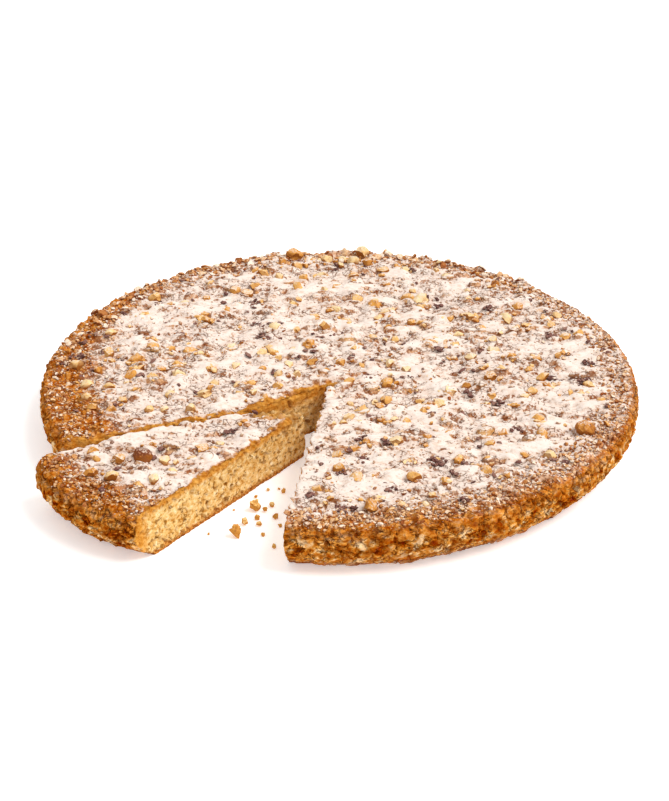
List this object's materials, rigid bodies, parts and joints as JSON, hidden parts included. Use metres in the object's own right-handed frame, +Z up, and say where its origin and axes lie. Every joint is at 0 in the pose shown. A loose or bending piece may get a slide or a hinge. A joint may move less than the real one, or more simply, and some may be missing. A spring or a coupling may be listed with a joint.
{
  "type": "hazelnut cake",
  "caption": "Low round baked cake with chopped hazelnuts and icing sugar on top, cut open, with a slice drawn out of its notch.",
  "frame": {"origin": "middle of the round cake's flat base, where it stands", "axes": "+Z up out of the cake's top, -Y towards the open notch and the side the picture was taken from, +X to the right as seen from there"},
  "size_m": [0.2791, 0.2794, 0.0289],
  "materials": {
    "sugared_crust": "matte baked crust under icing sugar",
    "sugared_slice": "matte baked crust under icing sugar, pale crumb on the cuts"
  },
  "bodies": {
    "root": {"cake": "sugared_crust", "slice": "sugared_slice"}
  },
  "joints": []
}
